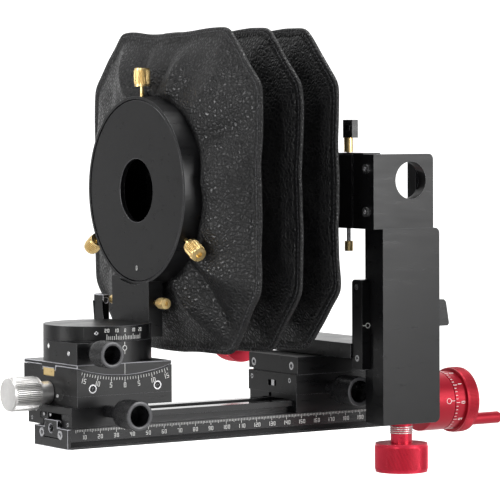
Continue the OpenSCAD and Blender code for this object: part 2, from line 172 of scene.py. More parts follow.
def anodised(name, dark, light, rough=0.42, grain=2600.0, bump=0.10, metallic=0.0, coat=0.0, spec=0.5):
    """Bead-blasted and dyed aluminium: fine even grain, faint colour drift and slight handling marks."""
    t = Tree(name)
    t.set(Metallic=metallic, IOR=1.5, Specular_IOR_Level=spec)
    if coat:
        t.set(Coat_Weight=coat, Coat_Roughness=0.2)
    drift = t.noise(38, 3, 0.55)
    fine = t.noise(grain, 2, 0.6)
    marks = t.noise(160, 4, 0.62, vec=t.mapping((1, 0.25, 1.6)))
    mixv = t.math("ADD", t.math("MULTIPLY", drift, 0.7), t.math("MULTIPLY", fine, 0.3))
    t.to(t.ramp(mixv, [(0.32, dark), (0.72, light)]), "Base Color")
    t.to(t.math("ADD", t.range(marks, 0.25, 0.75, rough - 0.07, rough + 0.08), t.range(fine, 0.3, 0.7, -0.03, 0.03)), "Roughness")
    t.to(t.bump(t.math("ADD", fine, t.math("MULTIPLY", marks, 0.2)), bump, 0.00004), "Normal")
    return t.mat


def turned_metal(name, dark, light, rough=0.28, axis=(1, 1, 1), bump=0.08, metallic=1.0):
    """Lathe-turned metal: fine rings along one axis, with soft stains."""
    t = Tree(name)
    t.set(Metallic=metallic, Anisotropic=0.35)
    lines = t.noise(420, 3, 0.6, vec=t.mapping(axis))
    stain = t.noise(60, 3, 0.6)
    t.to(t.ramp(t.math("ADD", t.math("MULTIPLY", lines, 0.45), t.math("MULTIPLY", stain, 0.55)), [(0.3, dark), (0.7, light)]), "Base Color")
    t.to(t.math("ADD", t.range(lines, 0.3, 0.7, rough - 0.07, rough + 0.07), t.range(stain, 0.3, 0.7, -0.04, 0.04)), "Roughness")
    t.to(t.bump(lines, bump, 0.00003), "Normal")
    return t.mat


def leather_material(name, fold=False):
    """Black pebble-grained leather, with painted shade in the creases of its grain."""
    t = Tree(name)
    t.set(IOR=1.5, Specular_IOR_Level=0.42)
    warp = t.n("ShaderNodeTexNoise", Scale=420.0, Detail=2.0)
    t.link(t.coord.outputs["Object"], warp.inputs["Vector"])
    mixv = t.n("ShaderNodeMix", data_type="VECTOR")
    mixv.inputs["Factor"].default_value = 0.0009
    t.link(t.coord.outputs["Object"], mixv.inputs[4])
    t.link(warp.outputs["Color"], mixv.inputs[5])
    cells = t.n("ShaderNodeTexVoronoi", feature="DISTANCE_TO_EDGE", Scale=430.0)
    t.link(mixv.outputs[1], cells.inputs["Vector"])
    small = t.n("ShaderNodeTexVoronoi", feature="DISTANCE_TO_EDGE", Scale=1100.0)
    t.link(mixv.outputs[1], small.inputs["Vector"])
    broad = t.noise(55, 4, 0.6)
    mid = t.noise(240, 3, 0.6)
    pores = t.noise(3600, 2, 0.6)
    # rounded pebbles between narrow creases
    pebble = t.math("POWER", t.range(cells.outputs["Distance"], 0.0, 0.34, 0.0, 1.0), 0.8)
    grit = t.math("POWER", t.range(small.outputs["Distance"], 0.0, 0.30, 0.0, 1.0), 0.7)
    hgt = t.math("ADD", pebble, t.math("MULTIPLY", grit, 0.06))
    hgt = t.math("ADD", hgt, t.math("MULTIPLY", mid, 0.55))
    hgt = t.math("ADD", hgt, t.math("MULTIPLY", pores, 0.015))
    # painted shade: the creases between pebbles are coloured darker than the pebble tops; the broad noise adds random
    # tone
    colour = t.math("ADD", t.math("MULTIPLY", pebble, 0.7), t.math("MULTIPLY", broad, 0.3))
    t.to(t.ramp(colour, [(0.15, (0.0010, 0.0010, 0.0011)), (0.85, (0.0055, 0.0055, 0.0065))]), "Base Color")
    t.to(t.math("ADD", t.range(pebble, 0.0, 0.9, 0.70, 0.30), t.range(broad, 0.3, 0.7, -0.04, 0.05)), "Roughness")
    t.to(t.bump(hgt, 1.0 if not fold else 0.6, 0.00030), "Normal")
    return t.mat


def paint(name, colour, rough=0.55):
    t = Tree(name)
    f = t.noise(2200, 2, 0.6)
    t.to(t.ramp(f, [(0.3, tuple(c * 0.86 for c in colour)), (0.7, colour)]), "Base Color")
    t.to(t.range(f, 0.3, 0.7, rough - 0.06, rough + 0.06), "Roughness")
    t.to(t.bump(f, 0.05, 0.00003), "Normal")
    return t.mat


M = {}
M["black"] = anodised("black_anodised", (0.0030, 0.0030, 0.0034), (0.0050, 0.0050, 0.0056), rough=0.32, spec=0.36)
# painted highlight: a far lighter black for the bevel faces of the black parts, standing for the glint along their
# edges
M["black_edge_highlight"] = anodised("black_edge_highlight", (0.30, 0.30, 0.32), (0.42, 0.42, 0.45), rough=0.24, bump=0.03)
# painted highlight: a dimmer lighter black for the bevel faces of the lens ring and board
M["ring_edge_highlight"] = anodised("ring_edge_highlight", (0.030, 0.030, 0.033), (0.050, 0.050, 0.054), rough=0.28, bump=0.03)
M["rail_scale"] = anodised("rail_face", (0.0055, 0.0055, 0.0062), (0.0085, 0.0085, 0.0095), rough=0.30, spec=0.42)
M["knob"] = anodised("black_knob", (0.0055, 0.0055, 0.0062), (0.009, 0.009, 0.010), rough=0.28, spec=0.45)
# painted highlight: a lighter black for the bevel faces of the lock knobs
M["knob_edge_highlight"] = anodised("knob_rim_highlight", (0.10, 0.10, 0.11), (0.16, 0.16, 0.17), rough=0.26, bump=0.03)
M["red"] = anodised("red_anodised", (0.50, 0.012, 0.036), (0.68, 0.024, 0.060), rough=0.34, metallic=0.55, bump=0.05)
# painted highlight: a brighter red for the bevel faces of the red parts
M["red_edge_highlight"] = anodised("red_edge_highlight", (0.80, 0.10, 0.16), (0.92, 0.16, 0.22), rough=0.22, metallic=0.8, bump=0.02)
M["alu"] = turned_metal("plain_aluminium", (0.62, 0.61, 0.60), (0.80, 0.79, 0.775), rough=0.40)
M["steel"] = turned_metal("steel", (0.42, 0.42, 0.43), (0.64, 0.64, 0.65), rough=0.28)
M["brass"] = turned_metal("brass", (0.70, 0.49, 0.19), (0.88, 0.68, 0.34), rough=0.32)
M["leather"] = leather_material("pebble_leather")
M["gloss"] = anodised("rail_top", (0.010, 0.010, 0.011), (0.016, 0.016, 0.018), rough=0.07, bump=0.01)
# painted shade: darker copies of the metals for the bottoms of knurl grooves
M["alu_groove_shade"] = turned_metal("aluminium_painted_groove_shade", (0.16, 0.16, 0.16), (0.24, 0.24, 0.24), rough=0.45)
M["brass_knurl_shade"] = turned_metal("brass_painted_groove_shade", (0.30, 0.20, 0.08), (0.42, 0.30, 0.13), rough=0.42)
M["red_painted_groove_shade"] = anodised("red_painted_groove_shade", (0.26, 0.008, 0.018), (0.36, 0.012, 0.028), rough=0.42, metallic=0.5)
M["white"] = paint("scale_fill", (0.86, 0.86, 0.84))
# painted shade: a near black used for the knurl grooves of the black knobs, the screw sockets and the rail's undercut
# grooves
M["dark"] = paint("painted_recess_shade", (0.012, 0.012, 0.013), rough=0.7)


def dress(node, mat, edge=None, width=0.0, segments=2, angle=35.0):
    """Gives a CAD node its material and, where it is a machined block, softly broken edges."""
    o = nodes[node]
    o.data.materials.clear()
    o.data.materials.append(M[mat])
    o.data.materials.append(M[edge or mat])
    o.data.polygons.foreach_set("material_index", [0] * len(o.data.polygons))
    o.data.polygons.foreach_set("use_smooth", [True] * len(o.data.polygons))
    if "custom_normal" in o.data.attributes:
        o.data.attributes.remove(o.data.attributes["custom_normal"])
    if width:
        w = o.modifiers.new("weld", "WELD")
        w.merge_threshold = 1e-6
        b = o.modifiers.new("bevel", "BEVEL")
        b.width = width * MM
        b.segments = segments
        b.limit_method = "ANGLE"
        b.angle_limit = math.radians(angle)
        # the bevel faces take the second material; where that is a lighter copy of the base, it paints a highlight
        # along the broken edges
        b.material = 1
        b.harden_normals = True
        b.use_clamp_overlap = True
        b.miter_outer = "MITER_SHARP"
        n = o.modifiers.new("normals", "WEIGHTED_NORMAL")
        n.keep_sharp = True
        n.weight = 80
    return o


for name in ("rail", "rail_front_cap"):
    dress(name, "rail_scale", "black_edge_highlight", 0.40)
for name in ("front_carriage", "gonio_base_plate", "rear_carriage", "rear_carriage_plate", "shift_base", "shift_bar", "rise_bracket",
             "column", "rear_arm", "rear_frame", "lens_post", "post_side_lug"):
    dress(name, "black", "black_edge_highlight", 0.55)
for name in ("gonio_lower_body", "gonio_cradle", "swing_base", "swing_disc"):
    dress(name, "black", "black_edge_highlight", 0.45)
for name in ("lens_ring", "lens_board"):
    dress(name, "black", "ring_edge_highlight", 0.4)
for name in ("front_lock_knob", "swing_lock_knob", "rear_lock_knob", "rise_lock_lever"):
    dress(name, "knob", "knob_edge_highlight", 0.35)
for name in ("index_collar", "handwheel", "crank_grip", "shift_knob", "rise_knob"):
    dress(name, "red", "red_edge_highlight", 0.4)
for name in ("tilt_knob", "tilt_bearing"):
    dress(name, "alu", "alu", 0.5)
for name in ("rail_cap_screws", "lead_screw", "front_carriage_screws", "gonio_screws", "tilt_worm", "rear_carriage_screws", "bracket_screws",
             "arm_screws", "camera_mount"):
    dress(name, "steel", "steel", 0.15)
for name in ("tilt_rack", "clamp_screw_right", "clamp_screw_left", "lens_screw_top", "lens_screw_left", "lens_screw_right", "screw_nut",
             "latch_lever"):
    dress(name, "brass", "brass", 0.2)
for name in [n for n in nodes if n.startswith("bellows_")]:
    dress(name, "leather", "leather", 0)

# ------------------------------------------------------------------ bellows
CX, CZ = -11.0, 138.0                 # axis of the bellows, mm
RIMS = (-39.0, -12.8, 11.0)           # places of the three stitched outer folds along Y
RIM_H, RIM_C = 87.4, 31.0
VALLEY_H, VALLEY_C = 48.0, 20.0


def soft(x, a, b):
    t = min(1.0, max(0.0, (x - a) / (b - a)))
    return t * t * (3 - 2 * t)


def wrap(a):
    return (a + math.pi) % (2 * math.pi) - math.pi


def octagon(h, c, th, p=64.0):
    s = 0.0
    for k in range(8):
        d = h if k % 2 == 0 else (2 * h - c) / math.sqrt(2)
        cs = math.cos(th - k * math.pi / 4)
        if cs > 0.05:
            s += (cs / d) ** p
    return s ** (-1 / p)


def bump_at(th, centre, width):
    return math.exp(-(wrap(th - math.radians(centre)) / math.radians(width)) ** 2)


def rim_wave(th, i):
    """How far the rim's edge departs from the true octagon: (radial, along Y)."""
    side = 0.0
    for k in range(4):
        a = wrap(th - k * math.pi / 2)
        if abs(a) < 0.42:
            side += (0.7, 1.7, 1.4, -0.6)[k] * (1 - (a / 0.42) ** 2) ** 1.5
    v = Vector((math.cos(th) * 2.1 + i * 7.3, math.sin(th) * 2.1, i * 3.1))
    n1 = noise.noise(v)
    n2 = noise.noise(v * 2.7 + Vector((9, 2, 5)))
    rad = -side + 0.5 * n1 + 0.35 * n2 + 3.0 * soft(-math.sin(th), 0.55, 0.95)
    if i == 0:
        rad -= 1.4 * bump_at(th, 106, 9) + 0.8 * bump_at(th, 128, 6)
    along = 1.2 * noise.noise(v * 1.3 + Vector((4, 4, 4))) + 0.6 * n2
    if i == 0:
        along += 1.0 * bump_at(th, 106, 10) - 0.8 * bump_at(th, 118, 8)
    return rad, along


# radial folds of the front panel: angle, width in degrees, height in mm towards the lens side
# ridges are sharp on one side, like creased leather
FOLDS = ((119, 5.5, 3.0), (108, 4.5, -2.4), (97, 4.5, 2.4), (86, 4.5, -1.8), (73, 5.5, 2.4), (60, 6.0, -1.6), (47, 6.0, 1.2), (27, 5.5, -3.2),
         (6, 15.0, 3.4), (-20, 11.0, 1.4), (-38, 5.5, 3.0), (-50, 5.0, -4.2), (-64, 5.5, 2.2), (-78, 6.0, -1.4), (-92, 7.0, 1.2), (-110, 8.0, 1.5),
         (140, 8.0, -1.4), (160, 12.0, 2.2), (188, 12.0, 1.2), (212, 8.0, -1.4), (232, 8.0, 1.8))


def panel_relief(th, u):
    """Height of the front panel over its plain cone, mm; u runs from the ring (0) to the rim (1)."""
    h = 0.0
    for a, w, amp in FOLDS:
        lean = 5.0 * (u - 0.5) * (1 if amp > 0 else -1)
        env = math.sin(math.pi * min(1.0, u * 0.98) ** 0.8)
        d = wrap(th - math.radians(a + lean)) / math.radians(w * (0.75 + 0.5 * u))
        h += 1.45 * amp * math.exp(-abs(d) ** 1.35) * env
    h += 2.4 * math.sin(math.pi * u ** 0.85)
    x, z = math.cos(th) * (50 + 37 * u), math.sin(th) * (50 + 37 * u)
    v = Vector((x, z, 3.0)) * 0.045
    h += 1.5 * noise.noise(v) * math.sin(math.pi * u) + 0.55 * noise.noise(v * 3.1) * math.sin(math.pi * u)
    return h


def fold_relief(th, u, i):
    """Softness of the walls between rims; u runs from valley (0) to rim (1)."""
    r = 48 + 39 * u
    v = Vector((math.cos(th) * r * 0.04, math.sin(th) * r * 0.04, 2.2))
    return (1.5 * noise.noise(v) + 0.45 * noise.noise(v * 2.9)) * math.sin(math.pi * u)


def rim_point(th, i, inset, dy):
    rad, along = rim_wave(th, i)
    r = octagon(RIM_H, RIM_C, th) + rad
    return r - inset, RIMS[i] + along + dy


def valley_point(th, y, out, dy):
    v = Vector((math.cos(th) * 1.6, math.sin(th) * 1.6, y))
    return octagon(VALLEY_H, VALLEY_C, th) + 0.9 * noise.noise(v) + out, y + 0.7 * noise.noise(v * 1.7) + dy


def lerp(a, b, t):
    return a + (b - a) * t


def wall(th, a, b, t, relief, sign, bow=0.0):
    """Point at share t between two (r, y) ends, with relief along Y."""
    r = lerp(a[0], b[0], t)
    y = lerp(a[1], b[1], t)
    return r, y + sign * relief + bow * math.sin(math.pi * t)


FLANGE = 5.2
VAL = (-26.6, -1.2)


def row(sec, t, th):
    """(r, y) in mm of one point; sec is the section number 1 to 11, t its share from front to back."""
    R = lambda i, inset, dy: rim_point(th, i, inset, dy)
    V = lambda j, out, dy: valley_point(th, VAL[j], out, dy)
    ring = (49.6, -54.0)
    if sec in (1, 2):
        u = t * 0.57 if sec == 1 else 0.57 + t * 0.43
        root = R(0, FLANGE + 1.2, -1.5)
        # panel up to the flange's root, then the flange's front face out to its edge
        if sec == 1 or t < 0.60:
            uu = u / (0.57 + 0.43 * 0.60)
            r, y = wall(th, ring, root, uu, panel_relief(th, uu), -1)
            if uu < 0.14:
                k = soft(uu, 0.0, 0.14)
                y = lerp(ring[1] + 1.4, y, k)
            return r, y
        q = (t - 0.60) / 0.40
        pts = [R(0, FLANGE + 1.2, -1.5), R(0, FLANGE + 0.3, -1.05), R(0, FLANGE - 0.8, -1.15), R(0, 2.9, -1.2), R(0, 2.4, -0.95), R(0, 1.9, -1.2), R(0, 0.7, -1.15), R(0, 0.15, -0.7), R(0, 0, 0)]
        return path(pts, q)
    if sec in (3, 7, 6, 10) or sec in (4, 5, 8, 9) or sec == 11:
        pass
    if sec == 3:      # rim 0 back to valley 0
        if t < 0.16:
            q = t / 0.16
            return path([R(0, 0, 0), R(0, 0.15, 0.7), R(0, 0.7, 1.15), R(0, FLANGE - 0.8, 1.15), R(0, FLANGE + 0.3, 1.05), R(0, FLANGE + 1.2, 1.5)], q)
        q = (t - 0.16) / 0.84
        return wall_to_valley(th, R(0, FLANGE + 1.2, 1.5), 0, q, -1, 1)
    if sec in (4, 5, 8, 9):   # valley to next rim, front side
        i = 1 if sec in (4, 5) else 2
        j = i - 1
        s = (0.5 * t) if sec in (4, 8) else 0.5 + 0.5 * t
        if s > 0.86:
            q = (s - 0.86) / 0.14
            return path([R(i, FLANGE + 1.2, -1.5), R(i, FLANGE + 0.3, -1.05), R(i, FLANGE - 0.8, -1.15), R(i, 2.9, -1.2), R(i, 2.4, -0.95), R(i, 1.9, -1.2), R(i, 0.7, -1.15), R(i, 0.15, -0.7), R(i, 0, 0)], q)
        q = s / 0.86
        return wall_to_valley(th, R(i, FLANGE + 1.2, -1.5), j, 1 - q, 1, i + 3)
    if sec in (6, 7):         # rim 1 back to valley 1
        s = 0.5 * t if sec == 6 else 0.5 + 0.5 * t
        if s < 0.14:
            q = s / 0.14
            return path([R(1, 0, 0), R(1, 0.15, 0.7), R(1, 0.7, 1.15), R(1, FLANGE - 0.8, 1.15), R(1, FLANGE + 0.3, 1.05), R(1, FLANGE + 1.2, 1.5)], q)
        q = (s - 0.14) / 0.86
        return wall_to_valley(th, R(1, FLANGE + 1.2, 1.5), 1, q, -1, 6)
    # rim 2 back to the sleeve
    s = 0.36 * t if sec == 10 else 0.36 + 0.64 * t
    if s < 0.08:
        q = s / 0.08
        return path([R(2, 0, 0), R(2, 0.15, 0.7), R(2, 0.7, 1.15), R(2, FLANGE - 0.8, 1.15), R(2, FLANGE + 0.3, 1.05), R(2, FLANGE + 1.2, 1.5)], q)
    sl = octagon(38.0, 14.0, th)
    a, b, c = R(2, FLANGE + 1.2, 1.5), (sl + 1.5, 22.4), (sl, 32.6)
    if s < 0.8:
        q = (s - 0.08) / 0.72
        return wall(th, a, b, q, fold_relief(th, 1 - q, 9), 1, 1.6)
    q = (s - 0.8) / 0.2
    return path([b, (sl + 0.2, 23.6), (sl, 25.5), c], q)


def path(pts, q):
    n = len(pts) - 1
    k = min(n - 1, int(q * n))
    f = q * n - k
    return lerp(pts[k][0], pts[k + 1][0], f), lerp(pts[k][1], pts[k + 1][1], f)


def wall_to_valley(th, root, j, q, side, seed):
    """From a flange's root (q = 0) to the middle of a valley (q = 1); side is -1 on the valley's front wall, 1 on its back wall."""
    v1 = valley_point(th, VAL[j], 2.6, side * 2.3)
    v2 = valley_point(th, VAL[j], 0.5, side * 1.1)
    v3 = valley_point(th, VAL[j], 0.0, 0.0)
    if q > 0.88:
        return path([v1, v2, v3], (q - 0.88) / 0.12)
    q /= 0.88
    return wall(th, root, v1, q, fold_relief(th, 1 - q, seed), 1, side * 0.5)


SECTIONS = (
    (1, "bellows_front_panel", "lens_standard", "bellows_01", 34),
    (2, "bellows_front_border", "bellows_01", "bellows_02", 36),
    (3, "bellows_fold_1_back", "bellows_02", "bellows_03", 30),
    (4, "bellows_fold_2_front_inner", "bellows_03", "bellows_04", 14),
    (5, "bellows_fold_2_front_outer", "bellows_04", "bellows_05", 26),
    (6, "bellows_fold_2_back_outer", "bellows_05", "bellows_06", 18),
    (7, "bellows_fold_2_back_inner", "bellows_06", "bellows_07", 14),
    (8, "bellows_fold_3_front_inner", "bellows_07", "bellows_08", 14),
    (9, "bellows_fold_3_front_outer", "bellows_08", "bellows_09", 26),
    (10, "bellows_fold_3_back_outer", "bellows_09", "bellows_10", 16),
    (11, "bellows_rear_sleeve", "bellows_10", "bellows_11", 30),
)
COLS = 432


def bellows_section(sec, node, a, b, rows):
    # section 2 has its rim path in its last third, so rows crowd there
    ts = [k / rows for k in range(rows + 1)]
    if sec == 2:
        ts = [0.60 * k / (rows - 17) for k in range(rows - 17)] + [0.60 + 0.40 * k / 16 for k in range(17)]
    if sec == 3:
        ts = [0.16 * k / 10 for k in range(10)] + [0.16 + 0.84 * k / (rows - 10) for k in range(rows - 9)]
    if sec in (5, 9):
        ts = [0.72 * k / (rows - 16) for k in range(rows - 16)] + [0.72 + 0.28 * k / 16 for k in range(17)]
    if sec == 6:
        ts = [0.28 * k / 8 for k in range(8)] + [0.28 + 0.72 * k / (rows - 8) for k in range(rows - 7)]
    if sec == 10:
        ts = [0.2222 * k / 8 for k in range(8)] + [0.2222 + 0.7778 * k / (rows - 8) for k in range(rows - 7)]
    verts = []
    for t in ts:
        for c in range(COLS):
            th = 2 * math.pi * c / COLS
            r, y = row(sec, t, th)
            verts.append(((CX + r * math.cos(th)) * MM, y * MM, (CZ + r * math.sin(th)) * MM))
    faces = []
    for k in range(len(ts) - 1):
        for c in range(COLS):
            d = (c + 1) % COLS
            faces.append((k * COLS + c, k * COLS + d, (k + 1) * COLS + d, (k + 1) * COLS + c))
    o = mesh_obj("leather_" + node[8:], verts, faces, M["leather"])
    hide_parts(node)
    # Y limits of the first and the last row, at least 1 mm apart
    y0 = max(v[1] for v in verts[:COLS]) + 0.0001
    y1 = min(v[1] for v in verts[-COLS:]) - 0.0001
    if sec == 1:
        y0 = max(y0, -0.0514)          # the front limit stays at Y -51.4 mm or behind
    if y1 - y0 < 0.001:
        m = (y0 + y1) / 2
        y0, y1 = m - 0.0005, m + 0.0005
    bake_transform(o)
    return o


for s in SECTIONS:
    bellows_section(*s)


# ------------------------------------------------------------------ engraved scales and marks
def strokes_obj(name, body, quads, mat="white"):
    """Thin engraved marks: each quad is four points in mm on a surface, lifted a hair along its normal."""
    verts, faces = [], []
    for q, n in quads:
        n = Vector(n)
        k = len(verts)
        for p in q:
            verts.append((Vector(p) + n * 0.035) * MM)
        for p in q:
            verts.append((Vector(p) - n * 0.05) * MM)
        faces += [(k, k + 1, k + 2, k + 3), (k + 7, k + 6, k + 5, k + 4)]
        faces += [(k + i, k + 4 + i, k + 4 + (i + 1) % 4, k + (i + 1) % 4) for i in range(4)]
    o = mesh_obj(name, verts, faces, M[mat], smooth=False)
    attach(o, body)
    return o


def bar(p, u, v, n, w, l):
    """Quad centred on p, w wide along u and l long along v, facing n."""
    p, u, v = Vector(p), Vector(u) * w / 2, Vector(v) * l / 2
    return ([p - u - v, p + u - v, p + u + v, p - u + v], n)


SEG = {"0": "abcdef", "1": "bc", "2": "abged", "3": "abgcd", "4": "fgbc", "5": "afgcd", "6": "afgedc", "7": "abc", "8": "abcdefg", "9": "abcfgd"}


def digits(text, p, u, v, n, h, w=None, t=None):
    """Plain engraved figures, centred on p: u runs along the line and v up."""
    w = w or h * 0.55
    t = t or h * 0.16
    p, u, v = Vector(p), Vector(u), Vector(v)
    out = []
    step = w * 1.5
    x0 = -step * (len(text) - 1) / 2
    for i, ch in enumerate(text):
        c = p + u * (x0 + i * step)
        for s in SEG.get(ch, ""):
            if s == "a":
                q = bar(c + v * (h / 2 - t / 2), u, v, n, w, t)
            elif s == "d":
                q = bar(c - v * (h / 2 - t / 2), u, v, n, w, t)
            elif s == "g":
                q = bar(c, u, v, n, w, t)
            elif s == "b":
                q = bar(c + u * (w / 2 - t / 2) + v * (h / 4), u, v, n, t, h / 2)
            elif s == "c":
                q = bar(c + u * (w / 2 - t / 2) - v * (h / 4), u, v, n, t, h / 2)
            elif s == "f":
                q = bar(c - u * (w / 2 - t / 2) + v * (h / 4), u, v, n, t, h / 2)
            else:
                q = bar(c - u * (w / 2 - t / 2) - v * (h / 4), u, v, n, t, h / 2)
            out.append(q)
    return out


def ring_mark(c, u, v, n, r, t=0.28, steps=28):
    c, u, v = Vector(c), Vector(u), Vector(v)
    out = []
    for k in range(steps):
        a0, a1 = 2 * math.pi * k / steps, 2 * math.pi * (k + 1) / steps
        e = lambda a, rr: c + u * (math.cos(a) * rr) + v * (math.sin(a) * rr)
        out.append(([e(a0, r), e(a1, r), e(a1, r + t), e(a0, r + t)], n))
    return out


def index_mark(c, u, v, n, r=1.3):
    """The small ring with a line each side that marks a zero."""
    c = Vector(c)
    return ring_mark(c, u, v, n, r) + [bar(c + Vector(u) * (r + 1.3), u, v, n, 1.9, 0.32), bar(c - Vector(u) * (r + 1.3), u, v, n, 1.9, 0.32)]


X, Y, Z = (1, 0, 0), (0, 1, 0), (0, 0, 1)

# millimetre scale along the rail's right face
HW = 18.4
q = []
for mm in range(0, 236):
    y = -122 + mm + 2
    if not -121.5 < y < 117.5:
        continue
    long = 2.3 if mm % 10 == 5 else 1.7 if mm % 5 == 0 else 1.25
    if mm % 10 == 5:
        long = 2.5
    q.append(bar((HW, y, 10.55 - long / 2), Y, Z, X, 0.22, long))
for k in range(1, 24):
    y = k * 10 - 125
    if y < 116:
        q += digits(str(k * 10), (HW, y, 6.3), Y, Z, X, 2.25, 1.2, 0.26)
strokes_obj("rail_scale_marks", "rail_assembly", q)

# tilt scale on the stage's right face, fixed half below the arc
TZ0, TY0 = 133.0, -89.5
q = []
for d in range(-16, 17):
    a = math.radians(d)
    long = 2.6 if d % 5 == 0 else 1.5
    rr = 95.6 + long / 2
    c = (18.5, TY0 + math.sin(a) * rr, TZ0 - math.cos(a) * rr)
    tang = (0, math.cos(a), math.sin(a))
    rad = (0, math.sin(a), -math.cos(a))
    q.append(bar(c, tang, rad, X, 0.26, long))
    if d % 5 == 0:
        rr = 99.9
        c = (18.5, TY0 + math.sin(a) * rr, TZ0 - math.cos(a) * rr)
        q += digits(str(abs(d)), c, (0, math.cos(a), math.sin(a)), (0, -math.sin(a), math.cos(a)), X, 2.7, 1.4, 0.32)
strokes_obj("tilt_scale_marks", "front_carriage", q)
q = [bar((18.5, TY0, 41.8), Y, Z, X, 0.26, 6.0)]
strokes_obj("tilt_index", "tilt_cradle", q)

# swing scale round the disc's edge, and its index on the block below
q = []
SC = (-11.0, -89.5)
RD = 30.0
for d in range(-20, 21, 2):
    a = math.radians(d * 1.0)
    e = (math.cos(a), math.sin(a), 0)
    tang = (-math.sin(a), math.cos(a), 0)
    long = 3.0 if d % 10 == 0 else 2.0
    q.append(bar((SC[0] + e[0] * RD, SC[1] + e[1] * RD, 57.6 + long / 2), tang, Z, e, 0.22, long))
    if d % 10 == 0:
        q += digits(str(abs(d)), (SC[0] + e[0] * RD, SC[1] + e[1] * RD, 62.6), tang, Z, e, 1.9, 1.0, 0.24)
strokes_obj("swing_scale_marks", "lens_standard", q)
q = [bar((18.5, -89.5, 55.4), Y, Z, X, 0.28, 2.0), bar((18.5, -89.5, 50.6), Y, Z, X, 0.28, 2.0)] + ring_mark((18.5, -89.5, 53.0), Y, Z, X, 1.1)
strokes_obj("swing_index", "tilt_cradle", q)

# mark on the lens board, and index marks on the column side of the bracket
q = digits("0", (-11.0, -64.2, 94.0), X, Z, (0, -1, 0), 2.6, 1.5, 0.34)
strokes_obj("board_mark", "lens_standard", q)
q = index_mark((54.8, 44.9, 61.3), Y, Z, X, 1.2)
strokes_obj("bracket_index", "shift_slide", q)

# ------------------------------------------------------------------ knurled grips
def frame_of(axis):
    a = Vector(axis).normalized()
    u = a.cross(Vector((0, 0, 1)) if abs(a.z) < 0.9 else Vector((1, 0, 0))).normalized()
    return a, u, a.cross(u)


def lathe(name, body, mat, origin, axis, prof, steps=72, teeth=0, height=0.0, lean=0.0):
    """Turned sleeve about axis; prof is a list of (distance along the axis, radius, 1 where the knurl cuts). Lean twists the teeth."""
    a, u, v = frame_of(axis)
    n = teeth * 4 if teeth else steps
    verts, faces = [], []
    for d, r, cut in prof:
        for k in range(n):
            th = 2 * math.pi * k / n + lean * d
            tooth = (0.0, 1.0, 1.0, 0.0)[k % 4] if teeth else 0.0
            rr = r + height * tooth * cut
            verts.append((Vector(origin) + a * d + u * (math.cos(th) * rr) + v * (math.sin(th) * rr)) * MM)
    for i in range(len(prof) - 1):
        for k in range(n):
            m = (k + 1) % n
            faces.append((i * n + k, i * n + m, (i + 1) * n + m, (i + 1) * n + k))
    # the groove bottoms of a knurl take a darker copy of the grip's finish: painted shade in the grooves
    groove = {"alu_knurl": "alu_groove_shade", "brass": "brass_knurl_shade", "red": "red_painted_groove_shade", "red_dark": "red_painted_groove_shade", "knob": "dark"}.get(mat, mat)
    o = mesh_obj(name, verts, faces, [M[mat], M[groove]], smooth=not teeth)
    if teeth:
        cut = [0 if prof[f // n][2] + prof[f // n + 1][2] < 2 or (f % n) % 4 != 3 else 1 for f in range(len(faces))]
        o.data.polygons.foreach_set("material_index", cut)
    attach(o, body)
    return o


def knurl(name, body, mat, origin, axis, r, d0, d1, teeth, height, lean=0.0):
    c = min(0.9, (d1 - d0) * 0.12)
    prof = [(d0, r - 0.2, 0), (d0, r + 0.02, 0), (d0 + c, r + 0.02, 1)]
    for k in range(1, 4):
        prof.append((d0 + c + (d1 - d0 - 2 * c) * k / 4, r + 0.02, 1))
    prof += [(d1 - c, r + 0.02, 1), (d1, r + 0.02, 0), (d1, r - 0.2, 0)]
    return lathe(name, body, mat, origin, axis, prof, teeth=teeth, height=height, lean=lean)


M["red_dark"] = anodised("red_handwheel", (0.34, 0.010, 0.022), (0.48, 0.016, 0.036), rough=0.34, metallic=0.6, bump=0.05)
M["alu_knurl"] = turned_metal("knurled_aluminium", (0.62, 0.61, 0.60), (0.82, 0.81, 0.79), rough=0.38)
knurl("tilt_knob_knurl", "tilt_knob", "alu_knurl", (-12.5, -144.2, 28.4), (0, 1, 0), 8.8, 0.9, 16.4, 54, 0.42)
knurl("front_lock_knurl", "front_lock_knob", "knob", (37, -100.5, 19.6), (1, 0, 0), 7.7, 1.2, 14.4, 64, 0.20)
knurl("swing_lock_knurl", "swing_lock_knob", "knob", (27.5, -109.8, 51.5), (1, 0, 0), 6.95, 1.0, 11.9, 58, 0.18)
knurl("rear_lock_knurl", "rear_lock_knob", "knob", (30, 44.6, 24.2), (1, 0, 0), 8.0, 1.4, 16.4, 66, 0.20)
knurl("shift_knob_knurl", "shift_knob", "red", (-103, 56, 45.9), (1, 0, 0), 14.9, 1.0, 13.0, 120, 0.26, lean=0.012)
knurl("rise_knob_knurl", "rise_knob", "red", (62.5, 62, -19.9), (0, 0, 1), 14.5, 1.0, 14.8, 120, 0.26, lean=0.012)
knurl("handwheel_knurl", "handwheel", "red_dark", (0, 142.2, 10.3), (0, 1, 0), 18.85, 0.8, 7.3, 140, 0.24)
for nm, ang in (("top", 90), ("left", 210), ("right", -30)):
    e = Vector((math.cos(math.radians(ang)), 0, math.sin(math.radians(ang))))
    p = Vector((-11, -59.9, 136.7)) + e * 57.2
    knurl("lens_screw_knurl_" + nm, "lens_screw_" + nm, "brass", p, e, 4.1, 1.0, 9.1, 30, 0.32)
knurl("clamp_right_knurl", "clamp_screw_right", "brass", (8.7, -61.5, 75.5), (1, 0, 0), 2.9, 0.8, 6.2, 26, 0.24)
for k in range(4):
    z = 1.6 + 1.15 * k
    lathe("rise_neck_ring_%d" % k, "rise_knob", "alu", (62.5, 62, z), (0, 0, 1),
          [(-0.42, 5.9, 0), (-0.3, 6.25, 0), (0.0, 6.45, 0), (0.3, 6.25, 0), (0.42, 5.9, 0)], steps=64)

